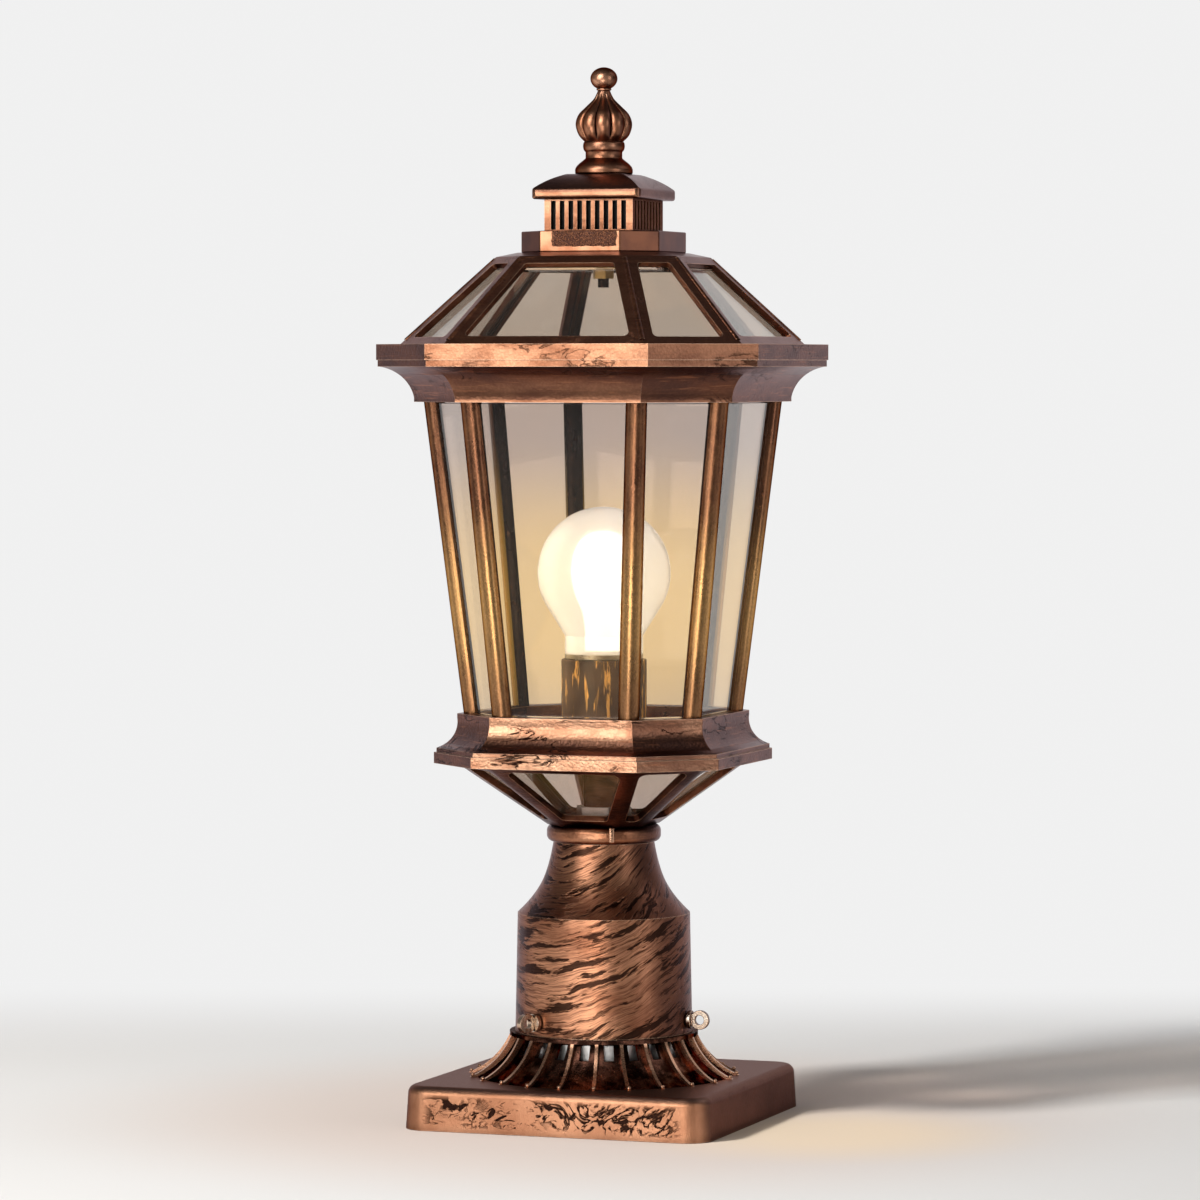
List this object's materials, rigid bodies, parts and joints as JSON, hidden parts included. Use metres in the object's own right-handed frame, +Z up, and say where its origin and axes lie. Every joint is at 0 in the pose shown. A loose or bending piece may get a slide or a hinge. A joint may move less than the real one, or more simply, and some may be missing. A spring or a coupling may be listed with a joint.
{
  "type": "solar post light",
  "caption": "Antique copper lantern with tinted panes, louvred vent and finial, on a bottle-shaped post fitter over a fluted skirt and square base plate.",
  "frame": {"origin": "middle of the base plate's underside", "axes": "+Z up along the post, -Y towards a wide face of the lantern, +X to the next wide face"},
  "size_m": [0.1824, 0.1824, 0.4815],
  "materials": {
    "antique_copper": "antique copper over cast aluminium, hand-rubbed",
    "dark_copper": "dark copper patina",
    "bare_aluminium": "bare drawn tube",
    "tinted_glass": "clear glass with a taupe tint",
    "solar_glass": "see-through thin-film solar glass, taupe",
    "plated_steel": "plated fasteners",
    "bright_screw": "bright plated thumb screws",
    "black_holder": "dark lampholder",
    "insulator": "unglazed ceramic",
    "contact_brass": "bare brass",
    "bulb_glass": "frosted glass, lit",
    "bulb_cap": "plain screw cap",
    "light_board": "white board",
    "cell_wrap": "plain shrink wrap",
    "tray_plastic": "black moulding",
    "board": "green circuit board",
    "lead_cover": "black insulation"
  },
  "bodies": {
    "base": {"base_plate": "antique_copper", "flange_bolts": "plated_steel", "post_stub": "bare_aluminium", "skirt": "antique_copper"},
    "head": {"basket_frame": "antique_copper", "basket_panes": "tinted_glass", "battery_cells": "cell_wrap", "battery_tray": "tray_plastic", "body_pane_narrow_1": "tinted_glass", "body_pane_narrow_2": "tinted_glass", "body_pane_narrow_3": "tinted_glass", "body_pane_narrow_4": "tinted_glass", "body_pane_wide_1": "tinted_glass", "body_pane_wide_2": "tinted_glass", "body_pane_wide_3": "tinted_glass", "body_pane_wide_4": "tinted_glass", "cage_post_1": "antique_copper", "cage_post_2": "antique_copper", "cage_post_3": "antique_copper", "cage_post_4": "antique_copper", "cage_post_5": "antique_copper", "cage_post_6": "antique_copper", "cage_post_7": "antique_copper", "cage_post_8": "antique_copper", "cage_screws": "plated_steel", "centre_contact": "contact_brass", "controller_board": "board", "crown_ring": "antique_copper", "fitter": "antique_copper", "lamp_leads": "lead_cover", "lamp_stem": "dark_copper", "lampholder": "black_holder", "lower_ring": "antique_copper", "neck_collar": "antique_copper", "socket_insulator": "insulator", "socket_shell": "contact_brass", "stem_nuts": "plated_steel"},
    "bulb": {"bulb_cap": "bulb_cap", "bulb_contact": "contact_brass", "bulb_glass": "bulb_glass", "light_board": "light_board"},
    "finial": {"finial": "antique_copper"},
    "roof": {"rod_nut": "plated_steel", "roof_bridge": "plated_steel", "roof_frame": "antique_copper", "roof_pane_narrow_1": "solar_glass", "roof_pane_narrow_2": "solar_glass", "roof_pane_narrow_3": "solar_glass", "roof_pane_narrow_4": "solar_glass", "roof_pane_wide_1": "solar_glass", "roof_pane_wide_2": "solar_glass", "roof_pane_wide_3": "solar_glass", "roof_pane_wide_4": "solar_glass", "roof_rod": "plated_steel", "vent_box": "antique_copper", "vent_cap": "antique_copper", "vent_collar": "antique_copper"},
    "thumb_screw_1": {"thumb_screw_1": "bright_screw"},
    "thumb_screw_2": {"thumb_screw_2": "bright_screw"},
    "thumb_screw_3": {"thumb_screw_3": "bright_screw"}
  },
  "joints": [
    {"name": "lantern_swivel", "type": "hinge", "parent": "base", "child": "head", "pos_m": [0, 0, 0.0402], "axis": [0, 0, 1], "continuous": true},
    {"name": "roof_lift", "type": "slide", "parent": "head", "child": "roof", "axis": [0, 0, 1], "range_m": [0, 0.12]},
    {"name": "finial_turn", "type": "hinge", "parent": "roof", "child": "finial", "pos_m": [0, 0, 0.4326], "axis": [0, 0, 1], "continuous": true},
    {"name": "bulb_turn", "type": "hinge", "parent": "head", "child": "bulb", "pos_m": [0, 0, 0.2], "axis": [0, 0, 1], "continuous": true},
    {"name": "thumb_screw_1_turn", "type": "hinge", "parent": "head", "child": "thumb_screw_1", "pos_m": [-0.0205, -0.03551, 0.0465], "axis": [-0.5, -0.866, 0], "continuous": true},
    {"name": "thumb_screw_2_turn", "type": "hinge", "parent": "head", "child": "thumb_screw_2", "pos_m": [0.041, 0, 0.0465], "axis": [1, 0, 0], "continuous": true},
    {"name": "thumb_screw_3_turn", "type": "hinge", "parent": "head", "child": "thumb_screw_3", "pos_m": [-0.0205, 0.03551, 0.0465], "axis": [-0.5, 0.866, 0], "continuous": true}
  ]
}
